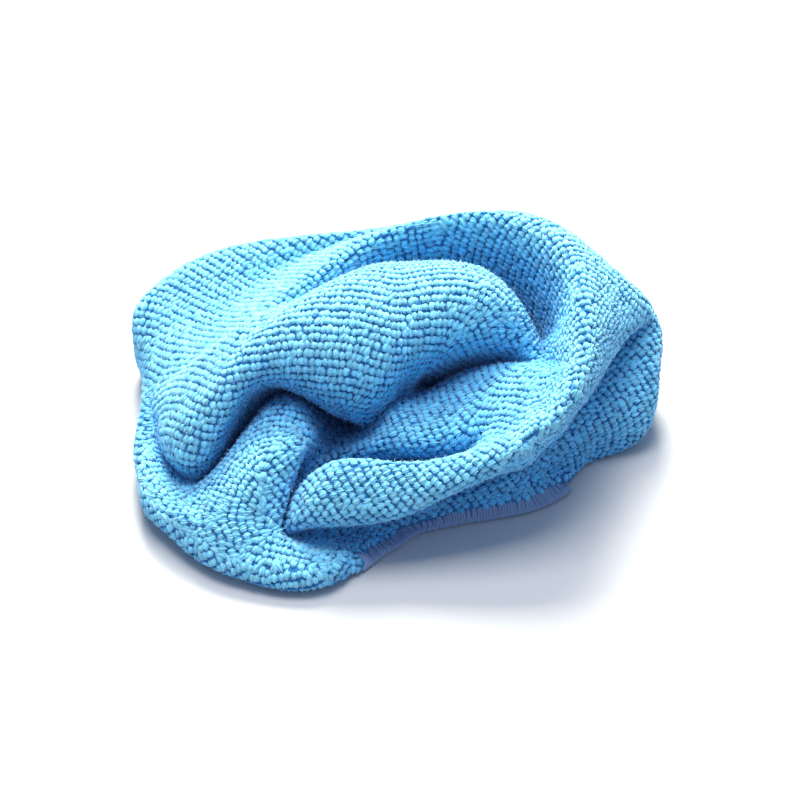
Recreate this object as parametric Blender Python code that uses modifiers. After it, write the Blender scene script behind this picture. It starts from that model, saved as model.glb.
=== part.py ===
"""A microfibre cloth dropped in a loose heap: one square of warp-knitted terry with an overlocked hem.

The sheet is followed fold by fold. FOLDS holds the folds that can be seen from above, from the back of the
heap to its front. RINGS holds what hangs from their outline: the sides, the part tucked underneath and the
hem. A smooth surface is led through both tables, its layers are kept apart, and it is given the cloth's
thickness.

Frame: the cloth lies on z = 0, +x is right and +y is back, and the origin is under the middle of its box.
"""
import bpy
import numpy as np
from mathutils import Vector
from mathutils.bvhtree import BVHTree

UNIT = 1.08e-3          # metres for each unit of the tables; sets the size of the whole heap
THICK = 2.4e-3          # the sheet with its pile
AIR = 0.5e-3            # least gap kept between two layers
FLAT = 0.4e-3           # what hangs lower than this over the floor rests on it
HALVINGS = 2            # how often each cell of the net is halved
FACES = 5000            # triangles of the sheet's middle surface after thinning out
FITTING = 8             # rounds of leading the smooth surface through the tables' points
PARTING = 40            # rounds of moving layers apart
LOOK_OVER = 8           # every so many of those rounds the whole sheet is searched for close layers
SAME_PATCH = 1.8        # points nearer than this along the sheet, in least gaps, are one layer
STEP, SPREAD = 0.6, 0.5 # share of a push that a point takes, and that its neighbours follow with
BLUE = (0.115, 0.456, 0.807, 1.0)

# The stations along each fold, left to right, for the ring that rises on the right and the roll inside it:
# 0 rim, 1 valley beside the rim, 2-3 the roll's nose, 4-6 the front band and its right edge, 7-10 along the
# roll to its right end, 11 pocket, 12 the ring's inner slope, 13 its crest, 14 its lower edge.
STATIONS = 15

# each fold: {station: (x, y, z)}; the stations between are led through smoothly
FOLDS = (
    ("back ridge", {0: (-78, 40, 25), 2: (-61, 52, 33), 3: (-48, 54, 37), 5: (-17, 52, 44),
                    7: (2, 51, 48), 9: (28, 48, 55), 10: (40, 44, 57), 12: (59, 33, 51), 13: (67, 29, 45),
                    14: (74, 27, 38)}),
    ("back trough", {0: (-76, 32, 19), 1: (-70, 34, 23), 2: (-61, 35, 27), 3: (-50, 36, 30),
                     4: (-38, 44, 34), 5: (-22, 49, 40), 7: (1, 47, 49), 9: (27, 45, 57),
                     10: (38, 41, 58), 11: (46, 35, 58), 12: (52, 27, 57), 13: (59, 21, 52),
                     14: (72, 22, 36)}),
    ("second ridge", {0: (-74, 24, 15), 1: (-67, 21, 22), 2: (-58, 17, 28), 3: (-45, 18, 37),
                      4: (-34, 26, 42), 5: (-20, 35, 46), 7: (0, 43, 48), 9: (26, 41, 51),
                      10: (36, 36, 52), 11: (44, 29, 53), 12: (51, 19, 54), 13: (57, 10, 52),
                      14: (68, 16, 35)}),
    ("first valley", {0: (-74, 17, 12), 1: (-69, 14, 18), 2: (-59, 9, 29), 3: (-46, 13, 38),
                      4: (-34, 20, 42), 5: (-19, 31, 40), 6: (-9, 37, 30), 7: (1, 40, 17),
                      9: (27, 37, 14), 10: (37, 31, 20), 11: (44, 21, 30), 12: (50, 11, 48),
                      13: (56, 1, 50), 14: (64, 10, 33)}),
    ("roll back", {0: (-74, 11, 12), 1: (-71, 10, 13), 2: (-63, 2, 28), 3: (-47, 7, 41), 4: (-34, 15, 44),
                   5: (-18, 25, 42), 7: (1, 33, 38), 9: (27, 30, 40), 10: (37, 22, 36), 11: (43, 15, 32),
                   12: (49, 5, 44), 13: (55, -6, 48), 14: (61, 5, 32)}),
    ("roll crest", {0: (-74, 4, 13), 1: (-70, 5, 10), 2: (-66, -4, 22), 3: (-54, -8, 35), 4: (-36, 7, 46),
                    5: (-16, 20, 52), 7: (4, 27, 52), 9: (27, 23, 51), 10: (37, 16, 43), 11: (43, 10, 33),
                    12: (48, 0, 42), 13: (54, -12, 46), 14: (58, 0, 31)}),
    ("roll brow", {0: (-74, -2, 13), 1: (-69, -2, 8), 2: (-66, -12, 19), 3: (-56, -16, 30),
                   4: (-38, 0, 46), 5: (-16, 6, 53), 7: (4, 12, 54), 9: (26, 14, 52), 10: (36, 12, 43),
                   11: (43, 6, 33), 12: (48, -5, 41), 13: (52, -17, 44), 14: (55, -5, 30)}),
    ("roll face", {0: (-74, -8, 13), 1: (-67, -9, 8), 2: (-62, -20, 17), 3: (-53, -20, 23),
                   4: (-39, -6, 40), 5: (-17, -8, 42), 7: (3, -2, 42), 9: (25, 7, 43), 10: (36, 9, 38),
                   11: (43, 3, 34), 12: (47, -9, 41), 13: (50, -21, 43), 14: (52, -9, 29)}),
    ("roll foot", {0: (-73, -13, 13), 1: (-64, -14, 8), 2: (-57, -20, 11), 3: (-49, -11, 15),
                   4: (-38, -1, 30), 5: (-18, -6, 24), 7: (3, 4, 23), 9: (24, 10, 33), 10: (36, 9, 33),
                   11: (42, 1, 35), 12: (46, -13, 40), 13: (47, -25, 41), 14: (49, -13, 28)}),
    ("second valley", {0: (-72, -19, 12), 1: (-62, -19, 9), 2: (-55, -19, 8), 3: (-47, -6, 8),
                       4: (-35, 7, 20), 5: (-22, 10, 13), 7: (4, 14, 11), 9: (23, 16, 21),
                       10: (35, 9, 28), 11: (41, -1, 36), 12: (44, -16, 38), 13: (45, -28, 40),
                       14: (47, -17, 27)}),
    ("shelf edge", {0: (-70, -25, 12), 1: (-62, -27, 11), 2: (-54, -24, 13), 3: (-46, -17, 19),
                    4: (-36, -6, 25), 5: (-26, -2, 23), 6: (-17, -1, 9), 7: (-2, 1, 20), 8: (11, 2, 24),
                    9: (24, 5, 29.5), 10: (34, 2, 34), 11: (41, -5, 37), 12: (42, -19, 37),
                    13: (43, -29, 39), 14: (45, -20, 27)}),
    ("shelf", {0: (-67, -31, 11), 1: (-58, -34, 12), 2: (-51, -31, 17), 3: (-43, -25, 23),
               4: (-34, -17, 26), 5: (-25, -13, 22), 6: (-20, -9, 10), 7: (-6, -18, 20), 8: (11, -21, 23),
               9: (23, -17, 28), 10: (32, -10, 34), 11: (38, -12, 36), 12: (39, -22, 37),
               13: (40, -31, 38), 14: (42, -23, 26)}),
    ("slit", {0: (-62, -37, 11), 1: (-54, -40, 13), 2: (-48, -37, 17), 3: (-41, -32, 23),
              4: (-33, -26, 27), 5: (-26, -22, 23), 6: (-29, -18, 11), 7: (-9, -9, 7), 8: (7, -9, 8),
              9: (20, -20, 19), 10: (28, -21, 30), 11: (33, -24, 33), 12: (36, -27, 36),
              13: (38, -32, 36), 14: (40, -25, 25)}),
    ("front roll back", {0: (-56, -42, 10), 1: (-50, -44, 12), 2: (-45, -42, 15), 3: (-40, -38, 19),
                         4: (-34, -33, 22), 5: (-29, -29, 18), 6: (-31, -26, 10), 7: (-14, -25, 13),
                         8: (4, -27, 14), 9: (16, -27, 22), 10: (26, -29, 31), 11: (31, -31, 34),
                         12: (34, -32, 35), 13: (37, -33, 34), 14: (38, -27, 24)}),
    ("front roll top", {0: (-50, -47, 9), 1: (-45, -47, 11), 2: (-41, -45, 13), 3: (-38, -42, 14),
                        4: (-34, -40, 15), 5: (-31, -36, 14), 6: (-32, -33, 8), 7: (-20, -32, 26),
                        8: (-1, -33, 28), 9: (12, -34, 29), 10: (22, -35, 31), 11: (28, -35, 33),
                        12: (32, -35, 33), 13: (35, -33, 31), 14: (37, -28, 24)}),
    ("front roll face", {0: (-42, -51, 8), 1: (-36, -50, 9), 2: (-31, -49, 9), 3: (-28, -47, 9),
                         4: (-30, -45, 9), 5: (-33, -41, 9), 6: (-32, -38, 6), 7: (-24, -43, 19),
                         8: (-3, -43, 21), 9: (11, -41, 24), 10: (20, -39, 27), 11: (26, -37, 29),
                         12: (31, -35, 30), 13: (34, -32, 28), 14: (35, -29, 24)}),
    ("front edge", {0: (-34, -54, 7), 1: (-26, -55, 7), 2: (-19, -53, 7), 3: (-15, -49, 6),
                    4: (-19, -45, 6), 5: (-27, -42, 6), 6: (-30, -39, 6), 7: (-25, -40, 11),
                    8: (-5, -40, 13), 9: (10, -36, 17), 10: (20, -33, 20), 11: (27, -31, 22),
                    12: (31, -30, 23), 13: (33, -30, 24), 14: (35, -29, 23)}),
)

# Each ring goes once round the heap: stations 0-14 along the back, 15-30 down the right, 31-44 along the
# front and 45-59 up the left.
RINGS = (
    ("crease", {0: (-79, 40, 18), 2: (-65, 56, 26), 4: (-36, 60, 32), 6: (-8, 61, 37), 8: (16, 58, 41),
                10: (45, 53, 42), 12: (63, 39, 38), 14: (76, 29, 33), 16: (65, 22, 30), 18: (57, 15, 26),
                20: (50, 6, 23), 22: (43, -2, 21), 24: (38, -8, 18), 27: (32, -16, 15), 30: (28, -20, 13),
                32: (23, -21, 11.5), 34: (13, -25, 10), 36: (-5, -31, 9), 37: (-19, -35, 8),
                38: (-25, -38, 6), 39: (-20, -40, 5), 40: (-15, -43, 5), 41: (-13, -47, 5),
                42: (-17, -54, 4.4), 43: (-26, -57, 3.8), 44: (-35, -56, 3.7), 46: (-53, -48, 5),
                48: (-64, -37, 6), 50: (-72, -26, 6.5), 51: (-73, -19, 7), 53: (-75, -8, 7),
                55: (-75, 4, 7), 57: (-75, 18, 8), 59: (-77, 32, 12)}),
    ("shoulder", {0: (-79, 39, 10), 2: (-66, 57, 16), 4: (-36, 56, 21), 6: (-8, 66, 23), 8: (16, 56, 25),
                  10: (46, 57, 26), 12: (66, 43, 26), 14: (78, 31, 28), 16: (75, 20, 27),
                  18: (71, 13, 23), 20: (63, 5, 20), 22: (55, -2, 17), 24: (47, -7, 14),
                  42: (-16, -53, 2.4), 43: (-26, -55, 1.5), 44: (-34, -53, 1.3), 46: (-51, -45, 1.6),
                  48: (-61, -35, 1.8), 50: (-69, -25, 2), 53: (-72, -8, 2), 55: (-72, 4, 2),
                  57: (-73, 17, 3), 59: (-76, 31, 6)}),
    ("bulge", {0: (-77, 37, 3), 2: (-65, 57, 6), 4: (-37, 57, 10), 6: (-8, 67, 11), 8: (16, 57, 12),
               10: (46, 58, 13), 12: (67, 44, 13), 14: (78, 32, 17), 16: (78, 20, 18), 18: (77, 11, 13),
               20: (72, 4, 8), 22: (62, 1, 6), 24: (53, -3, 7), 42: (-15, -51, 1.4), 43: (-25, -49, 1.2),
               44: (-32, -47, 1.2), 47: (-50, -35, 1.2), 50: (-61, -23, 1.2), 53: (-65, -10, 1.2),
               55: (-66, 0, 1.2), 57: (-67, 14, 1.2), 59: (-71, 29, 1.2)}),
    ("foot", {0: (-70, 34, 1.2), 2: (-60, 50, 1.2), 4: (-33, 50, 1.2), 6: (-7, 58, 1.2), 8: (15, 50, 1.2),
              10: (41, 50, 1.2), 12: (60, 38, 1.2), 14: (71, 29, 2), 16: (72, 19, 2), 18: (72, 11, 1.5),
              20: (67, 4, 1.2), 22: (60, 0, 1.2), 24: (53, -5, 2), 42: (-13, -49, 1.2),
              43: (-21, -42, 1.2), 44: (-28, -38, 1.2), 47: (-42, -28, 1.2), 50: (-52, -18, 1.2),
              53: (-54, -8, 1.2), 55: (-55, 0, 1.2), 57: (-56, 11, 1.2), 59: (-61, 25, 1.2)}),
    ("tuck", {24: (51, -8, 1.6), 42: (-12, -48, 1.2), 43: (-17, -36, 1.2), 44: (-23, -29, 1.2)}),
    ("turn", {24: (50, -9, 1.4), 42: (-12, -47, 1.2), 43: (-14, -31, 1.2), 44: (-18, -23, 1.3)}),
    ("return", {24: (49, -10, 1.3), 42: (-11, -47, 1.2), 43: (-11, -28, 1.3), 44: (-15, -20, 1.6)}),
    ("hem", {24: (48, -11, 1.2), 27: (51, -14, 1.2), 30: (43, -21, 1.2), 32: (33, -25, 1.2),
             34: (20, -28, 1.2), 36: (9, -31, 1.2), 37: (4.5, -33, 1.2), 38: (1, -38, 1.2),
             39: (-2, -40, 1.2), 40: (-5, -43, 1.2), 41: (-7.5, -46, 1.2), 42: (-10, -46, 1.2),
             43: (-9, -25, 1.6), 44: (-13, -17, 2.2)}),
)

# Under the heap a ring lies at a share of the foot's distance from the middle: (share, height)
UNDER = {"tuck": (0.72, 1.2), "turn": (0.35, 2.6), "return": (0.58, 4.4), "hem": (0.81, 4.4)}
LEAVES, OUT = 12, 25    # from the first station to the second the hem works its way out from underneath
APRON = range(27, 42)   # stations where the rings fan out over the floor in plain sight
SLOPE = 1.7             # how steeply the apron comes down from the crease: 1 is straight


def led_through(knots, count, closed=False):
    """Points at stations 0 .. count - 1 of a cubic spline through the knots of one row of a table."""
    at = np.array(sorted(knots), float)
    points = np.array([knots[k] for k in sorted(knots)], float)
    if closed:
        at = np.concatenate([at - count, at, at + count])
        points = np.concatenate([points, points, points])
    step = np.diff(at)
    size = len(at)
    matrix = np.eye(size)
    right = np.zeros((size, 3))
    for i in range(1, size - 1):
        matrix[i, i - 1:i + 2] = step[i - 1], 2 * (step[i - 1] + step[i]), step[i]
        right[i] = 6 * ((points[i + 1] - points[i]) / step[i] - (points[i] - points[i - 1]) / step[i - 1])
    bend = np.linalg.solve(matrix, right)
    row = []
    for station in range(count):
        i = min(max(int(np.searchsorted(at, station)) - 1, 0), size - 2)
        h = step[i]
        to_end = at[i + 1] - station
        done = station - at[i]
        curved = (bend[i] * to_end ** 3 + bend[i + 1] * done ** 3) / (6 * h)
        from_start = (points[i] / h - bend[i] * h / 6) * to_end
        from_end = (points[i + 1] / h - bend[i + 1] * h / 6) * done
        row.append(curved + from_start + from_end)
    return np.array(row)


def whole_rings():
    """The rings' knots: those of the table, and what follows from them under the heap and on the apron."""
    rings = {name: dict(knots) for name, knots in RINGS}
    crease, foot, hem = rings["crease"], rings["foot"], dict(rings["hem"])
    for name, (share, height) in UNDER.items():
        for station, (x, y, _) in foot.items():
            if station not in hem:
                way_out = (max(station - LEAVES, 0) / (OUT - LEAVES)) ** 2 if station < OUT else 0
                reach = share + (1 - share) * way_out
                rings[name][station] = (reach * x, reach * y, height)
    between = list(rings.values())[1:-1]
    for n, knots in enumerate(between, 1):
        left = 1 - n / (len(between) + 1)
        for station in set(APRON).intersection(hem):
            top = np.array(crease[station])
            end = np.array(hem[station])
            point = end + (top - end) * left
            point[2] = end[2] + (top[2] - end[2]) * left ** SLOPE
            knots[station] = tuple(point)
    return list(rings.values())


def net():
    """Points and four-sided cells of the sheet: the grid of folds and the rings hung from its outline."""
    rows = len(FOLDS)
    points = [p for _, knots in FOLDS for p in led_through(knots, STATIONS)]
    grid = np.arange(rows * STATIONS).reshape(rows, STATIONS)
    cells = [(grid[r, c], grid[r + 1, c], grid[r + 1, c + 1], grid[r, c + 1])
             for r in range(rows - 1) for c in range(STATIONS - 1)]
    outline = np.concatenate([grid[0], grid[1:, -1], grid[-1, -2::-1], grid[-2:0:-1, 0]])
    for knots in whole_rings():
        ring = len(points) + np.arange(len(outline))
        points += list(led_through(knots, len(outline), closed=True))
        cells += list(zip(outline, np.roll(outline, -1), np.roll(ring, -1), ring))
        outline = ring
    return np.array(points), [tuple(int(corner) for corner in cell) for cell in cells]


def smooth_limit(points, cells):
    """Where each point of the net ends up on the smooth (Catmull-Clark) surface."""
    total = len(points)
    count = np.zeros(total)
    edges = np.zeros((total, 3))
    corners = np.zeros((total, 3))
    rim = np.zeros((total, 3))
    on_rim = np.zeros(total, bool)
    sides = {}
    for quad in cells:
        for k in range(4):
            a, b = quad[k], quad[(k + 1) % 4]
            corners[a] += points[quad[(k + 2) % 4]]
            sides[min(a, b), max(a, b)] = sides.get((min(a, b), max(a, b)), 0) + 1
    for (a, b), used in sides.items():
        edges[a] += points[b]
        edges[b] += points[a]
        count[a] += 1
        count[b] += 1
        if used == 1:
            rim[a] += points[b]
            rim[b] += points[a]
            on_rim[a] = on_rim[b] = True
    n = count[:, None]
    limit = (n * n * points + 4 * edges + corners) / (n * (n + 5))
    limit[on_rim] = (4 * points[on_rim] + rim[on_rim]) / 6
    return limit


def same_patch(points, faces, length):
    """Neighbours of each point, and the points no further from it than `length` along the sheet."""
    beside = [{} for _ in points]
    for face in faces:
        for a in face:
            for b in face:
                if a != b:
                    beside[a][b] = float(np.linalg.norm(points[a] - points[b]))
    patches = []
    for start in range(len(points)):
        reached, edge = {start: 0.0}, [start]
        while edge:
            ahead = []
            for a in edge:
                for b, step in beside[a].items():
                    far = reached[a] + step
                    if far < length and far < reached.get(b, length):
                        reached[b] = far
                        ahead.append(b)
            edge = ahead
        patches.append(frozenset(reached))
    return [np.array(sorted(near)) for near in beside], patches


def keep_apart(points, faces, least):
    """Part layers of the sheet that are closer than `least`, and lift what sinks in the floor."""
    beside, patches = same_patch(points, faces, SAME_PATCH * least)
    points = points.copy()
    watched = range(len(points))
    for turn in range(PARTING):
        points[:, 2] = np.maximum(points[:, 2], THICK / 2)
        look_over = turn % LOOK_OVER == 0
        reach = 1.25 * least if look_over else least
        tree = BVHTree.FromPolygons([Vector(p) for p in points], faces)
        push = np.zeros_like(points)
        pushes = np.zeros(len(points))
        closest, close = least, []
        for i in (range(len(points)) if look_over else watched):
            near = False
            for where, _, face, gap in tree.find_nearest_range(Vector(points[i]), reach):
                if gap == 0 or not patches[i].isdisjoint(faces[face]):
                    continue
                near = True
                if gap < least:
                    away = (points[i] - np.array(where)) * (least - gap) / gap / 2
                    push[i] += away
                    pushes[i] += 1
                    for corner in faces[face]:
                        push[corner] -= away
                        pushes[corner] += 1
                    closest = min(closest, gap)
            if near:
                close.append(i)
        if look_over:
            watched = close
        if closest > 0.99 * least:
            break
        push /= np.maximum(pushes, 1)[:, None]
        points += STEP * push + SPREAD * np.array([push[near].mean(axis=0) for near in beside])
    points[:, 2] = np.maximum(points[:, 2], THICK / 2)
    return points


def mesh_object(name, points, faces):
    mesh = bpy.data.meshes.new(name)
    mesh.from_pydata([tuple(p) for p in points], [], faces)
    thing = bpy.data.objects.new(name, mesh)
    home.objects.link(thing)
    return thing


def reshaped(points, faces, kind, **settings):
    """The points and faces after one modifier of the kind named."""
    draft = mesh_object("draft", points, faces)
    modifier = draft.modifiers.new("reshape", kind)
    for name, value in settings.items():
        setattr(modifier, name, value)
    bpy.context.view_layer.update()
    mesh = bpy.data.meshes.new_from_object(draft.evaluated_get(bpy.context.evaluated_depsgraph_get()))
    bpy.data.objects.remove(draft, do_unlink=True)
    return np.array([v.co[:] for v in mesh.vertices]), [tuple(p.vertices) for p in mesh.polygons]


for old in list(bpy.data.objects):
    bpy.data.objects.remove(old, do_unlink=True)
home = bpy.data.collections.new("microfibre_cloth")
bpy.context.scene.collection.children.link(home)

wanted, cells = net()
points = wanted.copy()
for _ in range(FITTING):
    points += wanted - smooth_limit(points, cells)

points, faces = reshaped(points * UNIT, cells, "SUBSURF", levels=HALVINGS, render_levels=HALVINGS)
points = keep_apart(points, faces, THICK + AIR)
points, faces = reshaped(points, faces, "DECIMATE", ratio=FACES / (2 * len(faces)))
points = keep_apart(points, faces, THICK + AIR / 2)
points, faces = reshaped(points, faces, "SOLIDIFY", thickness=THICK, offset=0)

points[points[:, 2] < FLAT, 2] = 0
points[:, :2] -= (points[:, :2].min(axis=0) + points[:, :2].max(axis=0)) / 2
cloth = mesh_object("cloth", points, faces)

terry = bpy.data.materials.new("sky_blue_terry")
terry.use_nodes = True
finish = terry.node_tree.nodes["Principled BSDF"]
finish.inputs["Base Color"].default_value = BLUE
finish.inputs["Roughness"].default_value = 0.95
finish.inputs["Metallic"].default_value = 0.0
cloth.data.materials.append(terry)
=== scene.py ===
"""The looks of a microfibre cloth lying in a loose heap: terry pile, knitted ground and overlocked hem.

The same folds as the solid's are led through the tables. The middle surface they give is laid out flat, so
that the pile stands on it in ribs as it was knitted, and the sheet, its pile and its hem are built on it.
"""
import math
from collections import Counter

import bpy
import numpy as np
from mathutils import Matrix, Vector
from mathutils.bvhtree import BVHTree
from mathutils.kdtree import KDTree


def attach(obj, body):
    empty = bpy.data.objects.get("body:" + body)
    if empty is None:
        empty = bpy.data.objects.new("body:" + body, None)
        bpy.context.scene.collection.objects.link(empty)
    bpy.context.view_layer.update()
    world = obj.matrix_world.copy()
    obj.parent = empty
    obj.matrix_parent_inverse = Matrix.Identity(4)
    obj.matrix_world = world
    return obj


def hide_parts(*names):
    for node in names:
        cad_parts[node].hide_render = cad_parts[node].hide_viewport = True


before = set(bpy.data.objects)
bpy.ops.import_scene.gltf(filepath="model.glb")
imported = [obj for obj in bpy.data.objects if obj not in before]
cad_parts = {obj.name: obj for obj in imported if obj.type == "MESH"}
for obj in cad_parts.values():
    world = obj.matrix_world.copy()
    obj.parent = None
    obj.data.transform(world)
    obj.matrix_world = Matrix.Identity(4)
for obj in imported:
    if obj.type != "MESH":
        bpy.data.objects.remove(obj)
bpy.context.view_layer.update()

# ---- the folded sheet; sizes here and below are in metres ----
UNIT = 1.08e-3      # metres for each unit of the tables
THICK = 2.4e-3      # the sheet with its pile
AIR = 0.5e-3        # least gap kept between two layers
HALVINGS = 2        # how often each cell of the net is halved
FITTING = 8         # rounds of leading the smooth surface through the tables' points
PARTING = 40        # rounds of moving layers apart
LOOK_OVER = 8       # every so many of them the whole sheet is searched
LOOK_WIDER = 1.25   # how far that search reaches, in least gaps
PARTED = 0.99       # share of the least gap that is enough
SAME_PATCH = 1.8    # points this near along the sheet, in least gaps, are one layer
STEP, SPREAD = 0.6, 0.5  # shares of a push that a point and its neighbours take

# ---- the part that is laid out flat ----
RINGS_SEEN = 4      # rings below the outline that can be seen all round
APRON_SEEN = (22, 43)  # first and last station where all rings can be seen
LAYOUT = 10         # rounds of easing the stretch out of the layout
CREST = 5           # the fold whose crest the ribs follow
STRETCH = (5, 9)    # the stations it follows it between
EVENING, SOLVING = 40, 60  # rounds of spacing the ribs evenly, and strides in each
HEAVIEST = 20       # the most that one side of a face counts for
LEAST_AREA = 1e-8   # smaller faces, in square metres, count as this
TINY = 1e-12        # is divided by in place of nothing

# ---- what can be seen ----
RAYS = 64           # lines of sight from each point to the sky
TURN = 3 - math.sqrt(5)  # from one to the next, in half turns
CLEAR = 1.0e-3      # how far off they start
ABOVE_RIM = (0, 0, 1.5e-3)  # where the rim is looked at from

# ---- the pile: each loop has three plies, and a ply is a rounded block ----
RIB = 2.5e-3        # from one rib of pile to the next
LOOP = 1.85e-3      # from one loop to the next along a rib
UNEVEN, ASTRAY = 0.1, 0.06  # how far a loop strays along its rib, in LOOPs, and across, in RIBs
SHORTEST = 2 * LOOP  # a shorter rib has no loops of its own
CROWDED = 0.7e-3    # loops closer than this are thinned out
BARE = 1.45e-3      # a spot with no loop so near gets one
FILL_IN = 0.95 * RIB  # the width of rib it is made for
BESIDE_OPEN = 0.7 * RIB  # a hidden loop this near one that can be seen stays
LOOP_HIGH = 1.3e-3  # a loop, from root to tip
PILE_OUT = 1.22e-3  # tip of the pile, from the middle of the sheet
PLY_LONG = 0.6      # half the length of a ply, in widths of its rib
PLY_SHORT = 0.1     # how much shorter the outer plies are
PLY_WIDE = 0.27     # half the width of a ply, in LOOPs
PLY_APART = 0.28    # from one ply to the next, in LOOPs
PLY_LOW = 0.22e-3   # how much lower the outer plies stand
PLY_OUT = 0.12      # how much they lean outward
NARROW, WIDE = 0.7 * RIB, 1.6 * RIB  # least and greatest width of rib that plies fit
TWIST = 0.18        # how far a loop turns from straight across its rib
LOOP_SIZES, PLY_SIZES = 0.11, 0.07  # how much the sizes of loops and of plies differ
LOOP_LEANS, PLY_LEANS = 0.2, 0.1  # how much their leans differ
ROUGH = 0.04e-3     # how uneven a ply's surface is
AROUND, LEVELS = 6, 3  # sides of a ply, and bands from its root to its tip
SQUARE = 0.8        # 1 is a round ply, less is a squarer one
PILE_PIECES = 5

# ---- the nap: fine fibres that stand out of the loops ----
FIBRES = 3          # for each loop
FIBRE_WIDE = 0.11e-3
FIBRE_LONG = 1.4e-3  # the longest
FIBRE_SHORT = 0.4   # the shortest, as a share of that
LOW_ROOT = 0.35     # where the lowest is rooted: 0 is halfway up the loop, 1 its tip
RISING = 0.7        # how steeply they rise: 1 is straight out of the loop
STRAY, CURL = 0.5, 0.45  # how much their headings differ, and how much each bends halfway
FUZZY = 0.12        # loops that see less of the sky than this have no nap
NAP_PIECES = 2

# ---- the hem: thread oversewn round the edge ----
HEM = 4.6e-3        # its width
HEM_BARE = 0.75 * HEM  # this near the rim no loop stands where thread covers the sheet
OFF_THREAD = 0.9e-3  # further than this from the thread it isn't covered
STITCH = 0.88e-3    # from one stitch to the next
STITCH_UNEVEN = 0.05  # how far it strays from its place, in STITCHes
THREAD = 0.5e-3     # radius of the thread
SIDES = 6           # of the thread
RUN_ON = 4          # stitches sewn beyond the last that can be seen
RIM_EASED = 4       # rounds of smoothing the line of the rim
SAME_RIM = 0.3e-3   # points this near the rim lie on it
SEATS = (1.0, 0.66, 0.33, 0.0)  # where a stitch touches the sheet, in HEMs from the rim
SEATED = 0.25       # how high over the ground the thread lies there, in THREADs
DIPS = 0.5e-3       # how far its inner end goes into the sheet
WRAPS = 0.55e-3     # how far outside the rim it turns under
ENDS = 0.6e-3       # how far inside the rim it ends underneath
FEELS = 2e-3        # a step from the rim that tells where the sheet is
STITCH_LEANS, THREAD_SIZES = 0.06, 0.06  # how much leans and thickness differ

# ---- the knitted ground ----
GROUND_OUT = 0.15e-3  # its outer face, from the middle of the sheet
GROUND_IN = 0.95e-3  # its inner face
LET_DOWN = 1.5      # how far a proud face's corners are let down, in what it stands proud
LOW = 1.6e-3        # what lies lower than this is pressed down
PRESSED = 0.75e-3   # and from this height down it is flat on the floor

# ---- the picture ----
PICTURE = 800       # pixels across
ELEVATION = math.radians(40)
AWAY = 700          # from the camera to what it looks at, in the tables' units
LOOK_AT = 25        # height of that, in the same units
PIXEL = 0.29        # width of a pixel there, in the same units
RIGHT, UP = 5, -5   # pixels by which the picture's frame is moved

# The stations along each fold, left to right, for the ring that rises on the right and the roll inside it:
# 0 rim, 1 valley beside the rim, 2-3 the roll's nose, 4-6 the front band and its right edge, 7-10 along the
# roll to its right end, 11 pocket, 12 the ring's inner slope, 13 its crest, 14 its lower edge.
STATIONS = 15

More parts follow.
